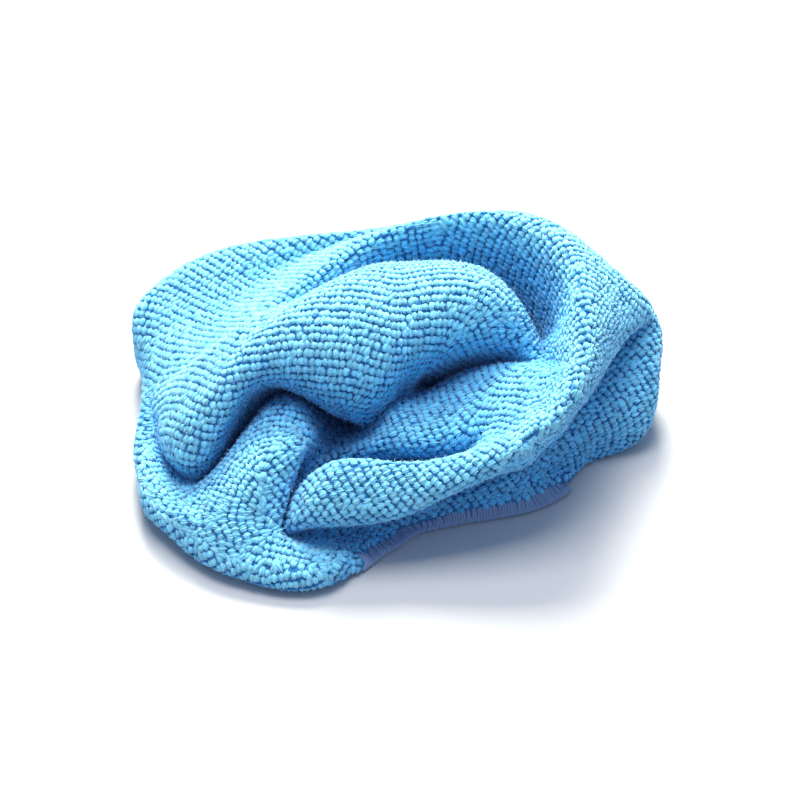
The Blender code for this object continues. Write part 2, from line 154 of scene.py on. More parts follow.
# each fold: {station: (x, y, z)}; the stations between are led through smoothly
FOLDS = (
    ("back ridge", {0: (-78, 40, 25), 2: (-61, 52, 33), 3: (-48, 54, 37), 5: (-17, 52, 44), 7: (2, 51, 48),
        9: (28, 48, 55), 10: (40, 44, 57), 12: (59, 33, 51), 13: (67, 29, 45), 14: (74, 27, 38)}),
    ("back trough", {0: (-76, 32, 19), 1: (-70, 34, 23), 2: (-61, 35, 27), 3: (-50, 36, 30),
        4: (-38, 44, 34), 5: (-22, 49, 40), 7: (1, 47, 49), 9: (27, 45, 57), 10: (38, 41, 58),
        11: (46, 35, 58), 12: (52, 27, 57), 13: (59, 21, 52), 14: (72, 22, 36)}),
    ("second ridge", {0: (-74, 24, 15), 1: (-67, 21, 22), 2: (-58, 17, 28), 3: (-45, 18, 37),
        4: (-34, 26, 42), 5: (-20, 35, 46), 7: (0, 43, 48), 9: (26, 41, 51), 10: (36, 36, 52),
        11: (44, 29, 53), 12: (51, 19, 54), 13: (57, 10, 52), 14: (68, 16, 35)}),
    ("first valley", {0: (-74, 17, 12), 1: (-69, 14, 18), 2: (-59, 9, 29), 3: (-46, 13, 38),
        4: (-34, 20, 42), 5: (-19, 31, 40), 6: (-9, 37, 30), 7: (1, 40, 17), 9: (27, 37, 14),
        10: (37, 31, 20), 11: (44, 21, 30), 12: (50, 11, 48), 13: (56, 1, 50), 14: (64, 10, 33)}),
    ("roll back", {0: (-74, 11, 12), 1: (-71, 10, 13), 2: (-63, 2, 28), 3: (-47, 7, 41), 4: (-34, 15, 44),
        5: (-18, 25, 42), 7: (1, 33, 38), 9: (27, 30, 40), 10: (37, 22, 36), 11: (43, 15, 32),
        12: (49, 5, 44), 13: (55, -6, 48), 14: (61, 5, 32)}),
    ("roll crest", {0: (-74, 4, 13), 1: (-70, 5, 10), 2: (-66, -4, 22), 3: (-54, -8, 35), 4: (-36, 7, 46),
        5: (-16, 20, 52), 7: (4, 27, 52), 9: (27, 23, 51), 10: (37, 16, 43), 11: (43, 10, 33),
        12: (48, 0, 42), 13: (54, -12, 46), 14: (58, 0, 31)}),
    ("roll brow", {0: (-74, -2, 13), 1: (-69, -2, 8), 2: (-66, -12, 19), 3: (-56, -16, 30), 4: (-38, 0, 46),
        5: (-16, 6, 53), 7: (4, 12, 54), 9: (26, 14, 52), 10: (36, 12, 43), 11: (43, 6, 33),
        12: (48, -5, 41), 13: (52, -17, 44), 14: (55, -5, 30)}),
    ("roll face", {0: (-74, -8, 13), 1: (-67, -9, 8), 2: (-62, -20, 17), 3: (-53, -20, 23), 4: (-39, -6, 40),
        5: (-17, -8, 42), 7: (3, -2, 42), 9: (25, 7, 43), 10: (36, 9, 38), 11: (43, 3, 34), 12: (47, -9, 41),
        13: (50, -21, 43), 14: (52, -9, 29)}),
    ("roll foot", {0: (-73, -13, 13), 1: (-64, -14, 8), 2: (-57, -20, 11), 3: (-49, -11, 15),
        4: (-38, -1, 30), 5: (-18, -6, 24), 7: (3, 4, 23), 9: (24, 10, 33), 10: (36, 9, 33), 11: (42, 1, 35),
        12: (46, -13, 40), 13: (47, -25, 41), 14: (49, -13, 28)}),
    ("second valley", {0: (-72, -19, 12), 1: (-62, -19, 9), 2: (-55, -19, 8), 3: (-47, -6, 8),
        4: (-35, 7, 20), 5: (-22, 10, 13), 7: (4, 14, 11), 9: (23, 16, 21), 10: (35, 9, 28),
        11: (41, -1, 36), 12: (44, -16, 38), 13: (45, -28, 40), 14: (47, -17, 27)}),
    ("shelf edge", {0: (-70, -25, 12), 1: (-62, -27, 11), 2: (-54, -24, 13), 3: (-46, -17, 19),
        4: (-36, -6, 25), 5: (-26, -2, 23), 6: (-17, -1, 9), 7: (-2, 1, 20), 8: (11, 2, 24),
        9: (24, 5, 29.5), 10: (34, 2, 34), 11: (41, -5, 37), 12: (42, -19, 37), 13: (43, -29, 39),
        14: (45, -20, 27)}),
    ("shelf", {0: (-67, -31, 11), 1: (-58, -34, 12), 2: (-51, -31, 17), 3: (-43, -25, 23), 4: (-34, -17, 26),
        5: (-25, -13, 22), 6: (-20, -9, 10), 7: (-6, -18, 20), 8: (11, -21, 23), 9: (23, -17, 28),
        10: (32, -10, 34), 11: (38, -12, 36), 12: (39, -22, 37), 13: (40, -31, 38), 14: (42, -23, 26)}),
    ("slit", {0: (-62, -37, 11), 1: (-54, -40, 13), 2: (-48, -37, 17), 3: (-41, -32, 23), 4: (-33, -26, 27),
        5: (-26, -22, 23), 6: (-29, -18, 11), 7: (-9, -9, 7), 8: (7, -9, 8), 9: (20, -20, 19),
        10: (28, -21, 30), 11: (33, -24, 33), 12: (36, -27, 36), 13: (38, -32, 36), 14: (40, -25, 25)}),
    ("front roll back", {0: (-56, -42, 10), 1: (-50, -44, 12), 2: (-45, -42, 15), 3: (-40, -38, 19),
        4: (-34, -33, 22), 5: (-29, -29, 18), 6: (-31, -26, 10), 7: (-14, -25, 13), 8: (4, -27, 14),
        9: (16, -27, 22), 10: (26, -29, 31), 11: (31, -31, 34), 12: (34, -32, 35), 13: (37, -33, 34),
        14: (38, -27, 24)}),
    ("front roll top", {0: (-50, -47, 9), 1: (-45, -47, 11), 2: (-41, -45, 13), 3: (-38, -42, 14),
        4: (-34, -40, 15), 5: (-31, -36, 14), 6: (-32, -33, 8), 7: (-20, -32, 26), 8: (-1, -33, 28),
        9: (12, -34, 29), 10: (22, -35, 31), 11: (28, -35, 33), 12: (32, -35, 33), 13: (35, -33, 31),
        14: (37, -28, 24)}),
    ("front roll face", {0: (-42, -51, 8), 1: (-36, -50, 9), 2: (-31, -49, 9), 3: (-28, -47, 9),
        4: (-30, -45, 9), 5: (-33, -41, 9), 6: (-32, -38, 6), 7: (-24, -43, 19), 8: (-3, -43, 21),
        9: (11, -41, 24), 10: (20, -39, 27), 11: (26, -37, 29), 12: (31, -35, 30), 13: (34, -32, 28),
        14: (35, -29, 24)}),
    ("front edge", {0: (-34, -54, 7), 1: (-26, -55, 7), 2: (-19, -53, 7), 3: (-15, -49, 6), 4: (-19, -45, 6),
        5: (-27, -42, 6), 6: (-30, -39, 6), 7: (-25, -40, 11), 8: (-5, -40, 13), 9: (10, -36, 17),
        10: (20, -33, 20), 11: (27, -31, 22), 12: (31, -30, 23), 13: (33, -30, 24), 14: (35, -29, 23)}),
)

# Each ring goes once round the heap: stations 0-14 along the back, 15-30 down the right, 31-44 along the
# front and 45-59 up the left.
RINGS = (
    ("crease", {0: (-79, 40, 18), 2: (-65, 56, 26), 4: (-36, 60, 32), 6: (-8, 61, 37), 8: (16, 58, 41),
        10: (45, 53, 42), 12: (63, 39, 38), 14: (76, 29, 33), 16: (65, 22, 30), 18: (57, 15, 26),
        20: (50, 6, 23), 22: (43, -2, 21), 24: (38, -8, 18), 27: (32, -16, 15), 30: (28, -20, 13),
        32: (23, -21, 11.5), 34: (13, -25, 10), 36: (-5, -31, 9), 37: (-19, -35, 8), 38: (-25, -38, 6),
        39: (-20, -40, 5), 40: (-15, -43, 5), 41: (-13, -47, 5), 42: (-17, -54, 4.4), 43: (-26, -57, 3.8),
        44: (-35, -56, 3.7), 46: (-53, -48, 5), 48: (-64, -37, 6), 50: (-72, -26, 6.5), 51: (-73, -19, 7),
        53: (-75, -8, 7), 55: (-75, 4, 7), 57: (-75, 18, 8), 59: (-77, 32, 12)}),
    ("shoulder", {0: (-79, 39, 10), 2: (-66, 57, 16), 4: (-36, 56, 21), 6: (-8, 66, 23), 8: (16, 56, 25),
        10: (46, 57, 26), 12: (66, 43, 26), 14: (78, 31, 28), 16: (75, 20, 27), 18: (71, 13, 23),
        20: (63, 5, 20), 22: (55, -2, 17), 24: (47, -7, 14), 42: (-16, -53, 2.4), 43: (-26, -55, 1.5),
        44: (-34, -53, 1.3), 46: (-51, -45, 1.6), 48: (-61, -35, 1.8), 50: (-69, -25, 2), 53: (-72, -8, 2),
        55: (-72, 4, 2), 57: (-73, 17, 3), 59: (-76, 31, 6)}),
    ("bulge", {0: (-77, 37, 3), 2: (-65, 57, 6), 4: (-37, 57, 10), 6: (-8, 67, 11), 8: (16, 57, 12),
        10: (46, 58, 13), 12: (67, 44, 13), 14: (78, 32, 17), 16: (78, 20, 18), 18: (77, 11, 13),
        20: (72, 4, 8), 22: (62, 1, 6), 24: (53, -3, 7), 42: (-15, -51, 1.4), 43: (-25, -49, 1.2),
        44: (-32, -47, 1.2), 47: (-50, -35, 1.2), 50: (-61, -23, 1.2), 53: (-65, -10, 1.2),
        55: (-66, 0, 1.2), 57: (-67, 14, 1.2), 59: (-71, 29, 1.2)}),
    ("foot", {0: (-70, 34, 1.2), 2: (-60, 50, 1.2), 4: (-33, 50, 1.2), 6: (-7, 58, 1.2), 8: (15, 50, 1.2),
        10: (41, 50, 1.2), 12: (60, 38, 1.2), 14: (71, 29, 2), 16: (72, 19, 2), 18: (72, 11, 1.5),
        20: (67, 4, 1.2), 22: (60, 0, 1.2), 24: (53, -5, 2), 42: (-13, -49, 1.2), 43: (-21, -42, 1.2),
        44: (-28, -38, 1.2), 47: (-42, -28, 1.2), 50: (-52, -18, 1.2), 53: (-54, -8, 1.2), 55: (-55, 0, 1.2),
        57: (-56, 11, 1.2), 59: (-61, 25, 1.2)}),
    ("tuck", {24: (51, -8, 1.6), 42: (-12, -48, 1.2), 43: (-17, -36, 1.2), 44: (-23, -29, 1.2)}),
    ("turn", {24: (50, -9, 1.4), 42: (-12, -47, 1.2), 43: (-14, -31, 1.2), 44: (-18, -23, 1.3)}),
    ("return", {24: (49, -10, 1.3), 42: (-11, -47, 1.2), 43: (-11, -28, 1.3), 44: (-15, -20, 1.6)}),
    ("hem", {24: (48, -11, 1.2), 27: (51, -14, 1.2), 30: (43, -21, 1.2), 32: (33, -25, 1.2),
        34: (20, -28, 1.2), 36: (9, -31, 1.2), 37: (4.5, -33, 1.2), 38: (1, -38, 1.2), 39: (-2, -40, 1.2),
        40: (-5, -43, 1.2), 41: (-7.5, -46, 1.2), 42: (-10, -46, 1.2), 43: (-9, -25, 1.6),
        44: (-13, -17, 2.2)}),
)

# Under the heap a ring lies at a share of the foot's distance from the middle: (share, height)
UNDER = {"tuck": (0.72, 1.2), "turn": (0.35, 2.6), "return": (0.58, 4.4), "hem": (0.81, 4.4)}
LEAVES, OUT = 12, 25    # from the first station to the second the hem works its way out from underneath
APRON = range(27, 42)   # stations where the rings fan out over the floor in plain sight
SLOPE = 1.7             # how steeply the apron comes down from the crease: 1 is straight


def led_through(knots, count, closed=False):
    """Points at stations 0 .. count - 1 of a cubic spline through the knots of one row of a table."""
    at = np.array(sorted(knots), float)
    points = np.array([knots[k] for k in sorted(knots)], float)
    if closed:
        at = np.concatenate([at - count, at, at + count])
        points = np.concatenate([points, points, points])
    step = np.diff(at)
    size = len(at)
    matrix = np.eye(size)
    right = np.zeros((size, 3))
    for i in range(1, size - 1):
        matrix[i, i - 1:i + 2] = step[i - 1], 2 * (step[i - 1] + step[i]), step[i]
        right[i] = 6 * ((points[i + 1] - points[i]) / step[i] - (points[i] - points[i - 1]) / step[i - 1])
    bend = np.linalg.solve(matrix, right)
    row = []
    for station in range(count):
        i = min(max(int(np.searchsorted(at, station)) - 1, 0), size - 2)
        h = step[i]
        to_end = at[i + 1] - station
        done = station - at[i]
        curved = (bend[i] * to_end ** 3 + bend[i + 1] * done ** 3) / (6 * h)
        from_start = (points[i] / h - bend[i] * h / 6) * to_end
        from_end = (points[i + 1] / h - bend[i + 1] * h / 6) * done
        row.append(curved + from_start + from_end)
    return np.array(row)


def whole_rings():
    """The rings' knots: those of the table, and what follows from them under the heap and on the apron."""
    rings = {name: dict(knots) for name, knots in RINGS}
    crease, foot, hem = rings["crease"], rings["foot"], dict(rings["hem"])
    for name, (share, height) in UNDER.items():
        for station, (x, y, _) in foot.items():
            if station not in hem:
                way_out = (max(station - LEAVES, 0) / (OUT - LEAVES)) ** 2 if station < OUT else 0
                reach = share + (1 - share) * way_out
                rings[name][station] = (reach * x, reach * y, height)
    between = list(rings.values())[1:-1]
    for n, knots in enumerate(between, 1):
        left = 1 - n / (len(between) + 1)
        for station in set(APRON).intersection(hem):
            top = np.array(crease[station])
            end = np.array(hem[station])
            point = end + (top - end) * left
            point[2] = end[2] + (top[2] - end[2]) * left ** SLOPE
            knots[station] = tuple(point)
    return list(rings.values())


def net():
    """Points and four-sided cells of the sheet: the grid of folds and the rings hung from its outline."""
    rows = len(FOLDS)
    points = [p for _, knots in FOLDS for p in led_through(knots, STATIONS)]
    grid = np.arange(rows * STATIONS).reshape(rows, STATIONS)
    cells = [(grid[r, c], grid[r + 1, c], grid[r + 1, c + 1], grid[r, c + 1])
             for r in range(rows - 1) for c in range(STATIONS - 1)]
    outline = np.concatenate([grid[0], grid[1:, -1], grid[-1, -2::-1], grid[-2:0:-1, 0]])
    for knots in whole_rings():
        ring = len(points) + np.arange(len(outline))
        points += list(led_through(knots, len(outline), closed=True))
        cells += list(zip(outline, np.roll(outline, -1), np.roll(ring, -1), ring))
        outline = ring
    return np.array(points), [tuple(int(corner) for corner in cell) for cell in cells]


def faces_beside(faces):
    """How many faces each side has beside it, where a side is its (lower, higher) points."""
    return Counter(tuple(sorted((face[k], face[(k + 1) % 4]))) for face in faces for k in range(4))


def smooth_limit(points, cells):
    """Where each point of the net ends up on the smooth (Catmull-Clark) surface."""
    total = len(points)
    count = np.zeros(total)
    edges, corners, rim = np.zeros((3, total, 3))
    on_rim = np.zeros(total, bool)
    for cell in cells:
        for k in range(4):
            corners[cell[k]] += points[cell[(k + 2) % 4]]
    for (a, b), used in faces_beside(cells).items():
        edges[a] += points[b]
        edges[b] += points[a]
        count[a] += 1
        count[b] += 1
        if used == 1:
            rim[a] += points[b]
            rim[b] += points[a]
            on_rim[a] = on_rim[b] = True
    n = count[:, None]
    limit = (n * n * points + 4 * edges + corners) / (n * (n + 5))
    limit[on_rim] = (4 * points[on_rim] + rim[on_rim]) / 6
    return limit


def same_patch(points, faces, length):
    """Neighbours of each point, and the points no further from it than `length` along the sheet."""
    beside = [{} for _ in points]
    for face in faces:
        for a in face:
            for b in face:
                if a != b:
                    beside[a][b] = float(np.linalg.norm(points[a] - points[b]))
    patches = []
    for start in range(len(points)):
        reached, edge = {start: 0.0}, [start]
        while edge:
            ahead = []
            for a in edge:
                for b, step in beside[a].items():
                    far = reached[a] + step
                    if far < length and far < reached.get(b, length):
                        reached[b] = far
                        ahead.append(b)
            edge = ahead
        patches.append(frozenset(reached))
    return [np.array(sorted(near)) for near in beside], patches


def keep_apart(points, faces, least):
    """Part layers of the sheet that are closer than `least`, and lift what sinks in the floor."""
    beside, patches = same_patch(points, faces, SAME_PATCH * least)
    points = points.copy()
    watched = range(len(points))
    for turn in range(PARTING):
        points[:, 2] = np.maximum(points[:, 2], THICK / 2)
        look_over = turn % LOOK_OVER == 0
        reach = LOOK_WIDER * least if look_over else least
        tree = BVHTree.FromPolygons([Vector(p) for p in points], faces)
        push = np.zeros_like(points)
        pushes = np.zeros(len(points))
        closest, close = least, []
        for i in (range(len(points)) if look_over else watched):
            near = False
            for where, _, face, gap in tree.find_nearest_range(Vector(points[i]), reach):
                if gap == 0 or not patches[i].isdisjoint(faces[face]):
                    continue
                near = True
                if gap < least:
                    away = (points[i] - np.array(where)) * (least - gap) / gap / 2
                    push[i] += away
                    pushes[i] += 1
                    for corner in faces[face]:
                        push[corner] -= away
                        pushes[corner] += 1
                    closest = min(closest, gap)
            if near:
                close.append(i)
        if look_over:
            watched = close
        if closest > PARTED * least:
            break
        push /= np.maximum(pushes, 1)[:, None]
        points += STEP * push + SPREAD * np.array([push[near].mean(axis=0) for near in beside])
    points[:, 2] = np.maximum(points[:, 2], THICK / 2)
    return points


def mesh_object(name, points, faces):
    """A smooth mesh object of the points and faces, in the cloth's collection."""
    mesh = bpy.data.meshes.new(name)
    mesh.from_pydata(points, [], faces)
    mesh.shade_smooth()
    thing = bpy.data.objects.new(name, mesh)
    home.objects.link(thing)
    return thing


def halved(points, faces, times):
    """The smooth surface's points and faces, each face halved both ways so many times."""
    draft = mesh_object("draft", points, faces)
    smooth = draft.modifiers.new("smooth", "SUBSURF")
    smooth.levels = smooth.render_levels = times
    bpy.context.view_layer.update()
    mesh = bpy.data.meshes.new_from_object(draft.evaluated_get(bpy.context.evaluated_depsgraph_get()))
    bpy.data.objects.remove(draft, do_unlink=True)
    return np.array([v.co[:] for v in mesh.vertices]), [tuple(p.vertices) for p in mesh.polygons]


def laid_flat(points, faces):
    """The folded sheet's points laid out flat with as little stretch as they allow, at true size."""
    sheet = mesh_object("layout", points, faces)
    sheet.data.uv_layers.new(name="flat")
    bpy.context.view_layer.objects.active = sheet
    sheet.select_set(True)
    bpy.ops.object.mode_set(mode="EDIT")
    bpy.ops.mesh.select_all(action="SELECT")
    bpy.ops.uv.unwrap(method="MINIMUM_STRETCH", correct_aspect=False, no_flip=True, iterations=LAYOUT)
    bpy.ops.object.mode_set(mode="OBJECT")
    corners = len(sheet.data.loops)
    holder, laid = np.zeros(corners, int), np.zeros(2 * corners)
    sheet.data.loops.foreach_get("vertex_index", holder)
    sheet.data.uv_layers["flat"].data.foreach_get("uv", laid)
    bpy.data.objects.remove(sheet, do_unlink=True)
    flat = np.zeros((len(points), 2))
    flat[holder] = laid.reshape(-1, 2)
    sides = np.array(faces)
    ahead = np.roll(sides, -1, axis=1)
    scale = np.linalg.norm(points[sides] - points[ahead], axis=2).sum()
    return flat * scale / np.linalg.norm(flat[sides] - flat[ahead], axis=2).sum()


class Slopes:
    """How a number held at each point of the sheet rises over each of its four-sided faces."""

    def __init__(self, points, quads):
        self.quads = quads
        self.first, self.second = self.both_ways(points)
        self.one = (self.first ** 2).sum(axis=1)
        self.both = (self.first * self.second).sum(axis=1)
        self.two = (self.second ** 2).sum(axis=1)
        self.area = np.sqrt(np.maximum(self.one * self.two - self.both ** 2, LEAST_AREA ** 2))

    def both_ways(self, held):
        """How much what is held changes across each face, one way and the other."""
        corner = held[self.quads]
        return ((corner[:, 1] + corner[:, 2] - corner[:, 0] - corner[:, 3]) / 2,
                (corner[:, 3] + corner[:, 2] - corner[:, 0] - corner[:, 1]) / 2)

    def rise(self, held):
        """The way in which the number rises on each face, as long as it is steep."""
        along_first, along_second = self.both_ways(held)
        first = (along_first * self.two - along_second * self.both) / self.area ** 2
        second = (along_second * self.one - along_first * self.both) / self.area ** 2
        return first[:, None] * self.first + second[:, None] * self.second


def even_ribs(held, points, quads):
    """Change the numbers held so that they rise by one metre for each metre across the ribs."""
    slopes = Slopes(points, quads)
    sides = np.concatenate([quads[:, [0, 1]], quads[:, [3, 2]], quads[:, [1, 2]], quads[:, [0, 3]]])
    start, end = sides.T
    of_face = np.tile(np.arange(len(quads)), 4)
    along = points[end] - points[start]
    weight = np.minimum(slopes.area[of_face] / np.maximum((along ** 2).sum(axis=1), TINY), HEAVIEST)
    total = len(points)
    own = np.bincount(start, weight, total) + np.bincount(end, weight, total)

    def gathered(flow):
        """What flows to each point along the sides, less what flows from it."""
        return np.bincount(end, flow, total) - np.bincount(start, flow, total)

    for _ in range(EVENING):
        slope = unit(slopes.rise(held))
        left = gathered(weight * ((slope[of_face] * along).sum(axis=1) - held[end] + held[start]))
        eased = left / own
        heading = eased.copy()
        measure = left @ eased
        for _ in range(SOLVING):
            felt = gathered(weight * (heading[end] - heading[start]))
            stride = measure / (heading @ felt)
            held = held + stride * heading
            left = left - stride * felt
            eased = left / own
            heading = eased + (left @ eased) / measure * heading
            measure = left @ eased
    return held


def rib_lines(held, corners, spacing):
    """Lines along which the number held is a whole multiple of the spacing, each as a chain of crossed sides.

    A crossed side is (point, point, share of the way from the first to the second).
    """
    lines = []
    for rib in range(int(np.ceil(held.min() / spacing)), int(held.max() / spacing) + 1):
        over = held - rib * spacing > 0
        count = over[corners].sum(axis=1)
        beside = {}
        for a, b, c in corners[(count > 0) & (count < 3)]:
            crossed = [(min(p, q), max(p, q)) for p, q in ((a, b), (b, c), (c, a)) if over[p] != over[q]]
            beside.setdefault(crossed[0], []).append(crossed[1])
            beside.setdefault(crossed[1], []).append(crossed[0])
        ends = [side for side, near in beside.items() if len(near) == 1]
        for start in ends + list(beside):
            if start not in beside:
                continue
            chain, side = [], start
            while side is not None:
                chain.append(side)
                near = beside.pop(side)
                side = next((other for other in near if other in beside), None)
            one, other = np.array(chain).T
            share = (rib * spacing - held[one]) / (held[other] - held[one])
            lines.append((one, other, share))
    return lines


def unit(vectors):
    """The vectors, each made one long."""
    return vectors / np.maximum(np.linalg.norm(vectors, axis=1), TINY)[:, None]


def normals_of(points, faces):
    """Outward direction at each point, from the faces round it."""
    across = np.cross(points[faces[:, 2]] - points[faces[:, 0]], points[faces[:, 3]] - points[faces[:, 1]])
    total = np.zeros_like(points)
    for k in range(4):
        for axis in range(3):
            total[:, axis] += np.bincount(faces[:, k], across[:, axis], len(points))
    return unit(total)


def openness(points):
    """How much of the sky each point sees past the sheet: 0 shut in, 1 on a bare crest."""
    rays = []
    for n in range(RAYS):
        up = (n + 0.5) / RAYS
        level = math.sqrt(1 - up * up)
        turn = n * math.pi * TURN
        rays.append(Vector((level * math.cos(turn), level * math.sin(turn), up)))
    seen = np.zeros(len(points))
    for n, point in enumerate(points):
        start = Vector(point)
        seen[n] = sum(sheet_tree.ray_cast(start + CLEAR * ray, ray)[0] is None for ray in rays)
    return seen / RAYS


def proud(places, ways):
    """How far each place stands out over the sheet, along the way given."""
    seats = np.array([sheet_tree.find_nearest(Vector(place))[0] for place in places])
    return np.maximum(0, ((places - seats) * ways).sum(axis=1))


def sides_once(faces):
    """The sides that only one face has."""
    return [side for side, count in faces_beside(faces).items() if count == 1]


def in_order(sides):
    """The points of a closed line of sides, one after the other."""
    beside = {}
    for a, b in sides:
        beside.setdefault(a, []).append(b)
        beside.setdefault(b, []).append(a)
    chain = [sides[0][0]]
    while len(chain) < len(beside):
        ahead = [p for p in beside[chain[-1]] if len(chain) < 2 or p != chain[-2]]
        chain.append(ahead[0])
    return chain


def gone_along(line):
    """How far along the line each of its points lies."""
    return np.concatenate([[0], np.cumsum(np.linalg.norm(np.diff(line, axis=0), axis=1))])


def at_marks(marks, gone, held):
    """What is held at the points of a line, read off at the marks along it."""
    return np.column_stack([np.interp(marks, gone, column) for column in held.T])


def tree_of(places):
    """A finder of the nearest of the places given."""
    tree = KDTree(len(places))
    for n, place in enumerate(places):
        tree.insert(Vector(place), n)
    tree.balance()
    return tree


def how_far(places, tree):
    """The distance from each place to the nearest one in the tree."""
    return np.array([tree.find(Vector(place))[2] for place in places])


def in_space(places):
    """Flat places, as places in space at height 0."""
    return np.pad(places, ((0, 0), (0, 1)))


def spaced(taken, candidates, least):
    """Which candidates stand at least so far from one another and from the places taken."""
    held = {}
    for place in taken.tolist():
        held.setdefault(tuple(int(v // least) for v in place), []).append(place)
    chosen = []
    for n, place in enumerate(candidates.tolist()):
        i, j, k = (int(v // least) for v in place)
        near = (other for a in (i - 1, i, i + 1) for b in (j - 1, j, j + 1) for c in (k - 1, k, k + 1)
                for other in held.get((a, b, c), ()))
        if all(math.dist(place, other) > least for other in near):
            held.setdefault((i, j, k), []).append(place)
            chosen.append(n)
    return np.array(chosen, int)


def picked(loops, which):
    """The loops chosen, with all that is held for each."""
    return {name: held[which] for name, held in loops.items()}


def copies(faces, points, count):
    """The faces of so many copies of a shape that has this many points, one after the other."""
    return (faces[None] + points * np.arange(count)[:, None, None]).reshape(-1, faces.shape[1])


def on_floor(points):
    """The points, with those that reach through the floor lifted onto it."""
    points[:, 2] = np.maximum(points[:, 2], 0)
    return points


def give(thing, name, values):
    """Store one number for each point of the thing, for its material to read."""
    held = thing.data.attributes.new(name, "FLOAT", "POINT")
    held.data.foreach_set("value", np.ascontiguousarray(values, np.float32))


def stitch(spot, way, out):
    """Rings of points round the thread of a stitch, from its inner end over the edge to its outer end."""
    inward = out.cross(way).normalized()
    if sheet_tree.find_nearest(spot + FEELS * inward)[3] > sheet_tree.find_nearest(spot - FEELS * inward)[3]:
        inward = -inward
    inward = (inward + random.normal(0, STITCH_LEANS) * way).normalized()
    path = []
    for share in SEATS:
        seat, face_out = sheet_tree.find_nearest(spot + share * HEM * inward)[:2]
        if face_out.dot(out) < 0:
            face_out = -face_out
        path.append(seat + (GROUND_OUT + SEATED * THREAD) * face_out)
    path[0] -= DIPS * out
    path.append(spot - WRAPS * inward)
    path.append(spot + ENDS * inward - GROUND_IN * out)
    rings = []
    for behind, place, ahead in zip(path[:1] + path, path, path[1:] + path[-1:]):
        heading = (ahead - behind).normalized()
        up = heading.cross(way).normalized()
        thick = THREAD * random.normal(1, THREAD_SIZES)
        for step in range(SIDES):
            turn = 2 * math.pi * step / SIDES
            rings.append(place + thick * (math.cos(turn) * way + math.sin(turn) * up))
    return np.array(rings)


def tube(rings):
    """The faces of a tube of so many rings of points."""
    faces = []
    for low in range(0, SIDES * (rings - 1), SIDES):
        for step in range(SIDES):
            beside = (step + 1) % SIDES
            faces.append((low + step, low + beside, low + SIDES + beside, low + SIDES + step))
    return np.array(faces)


def rounded_block():
    """Points and triangles of a ball drawn out towards a block, between -1 and 1 each way."""
    points, faces = [(0, 0, -1)], []
    for level in range(1, LEVELS):
        tilt = math.pi * level / LEVELS
        for step in range(AROUND):
            turn = 2 * math.pi * step / AROUND
            points.append((math.sin(tilt) * math.cos(turn), math.sin(tilt) * math.sin(turn), -math.cos(tilt)))
    points.append((0, 0, 1))
    for step in range(AROUND):
        beside = (step + 1) % AROUND
        faces.append((0, 1 + beside, 1 + step))
        for level in range(LEVELS - 2):
            low, high = 1 + level * AROUND, 1 + (level + 1) * AROUND
            faces.append((low + step, low + beside, high + beside))
            faces.append((low + step, high + beside, high + step))
        top = 1 + (LEVELS - 2) * AROUND
        faces.append((top + step, top + beside, len(points) - 1))
    points = np.array(points, float)
    return np.sign(points) * np.abs(points) ** SQUARE, np.array(faces)


def pile_piece(name, loops):
    """The loops given, three plies each, as one mesh."""
    block, block_faces = rounded_block()
    ply = np.tile([-1.0, 0.0, 1.0], len(loops["spot"]))
    loops = picked(loops, np.repeat(np.arange(len(loops["spot"])), 3))
    count = len(ply)
    lean = loops["lean"] + random.normal(0, PLY_LEANS, (count, 3))
    size = loops["size"] * random.normal(1, PLY_SIZES, (count, 3))
    up = loops["up"]
    long = unit(loops["long"] + (TWIST + lean[:, :1]) * loops["wide"])
    wide = unit(np.cross(long, up))
    high = unit(up + lean[:, 1:2] * long + (lean[:, 2:] + PLY_OUT * ply[:, None]) * wide)
    length = np.clip(loops["reach"], NARROW, WIDE) * (PLY_LONG - PLY_SHORT * ply ** 2) * size[:, 0]
    width = LOOP * PLY_WIDE * size[:, 1]
    height = LOOP_HIGH / 2 * size[:, 2]
    rise = PILE_OUT - LOOP_HIGH / 2 - PLY_LOW * ply ** 2
    at = (loops["spot"] + rise[:, None] * up + (ply * PLY_APART * LOOP)[:, None] * wide)[:, None, :]
    for half, way, share in zip((width, length, height), (wide, long, high), block.T):
        at = at + (half[:, None] * share)[:, :, None] * way[:, None, :]
    at += random.normal(0, ROUGH, at.shape)
    thing = mesh_object(name, on_floor(at.reshape(-1, 3)), copies(block_faces, len(block), count))
    # heights from root to tip, which the pile's material turns into painted shade towards the roots
    give(thing, "root_to_tip", ((rise[:, None] + height[:, None] * block[:, 2]) / PILE_OUT).ravel())
    # how much sky each loop sees, which the pile's material turns into painted shade in hollows
    give(thing, "open_sky", np.repeat(loops["open_sky"], len(block)))
    give(thing, "across", np.tile(block[:, 0], count))
    give(thing, "own_shade", np.repeat(loops["shade"], len(block)))
    return thing


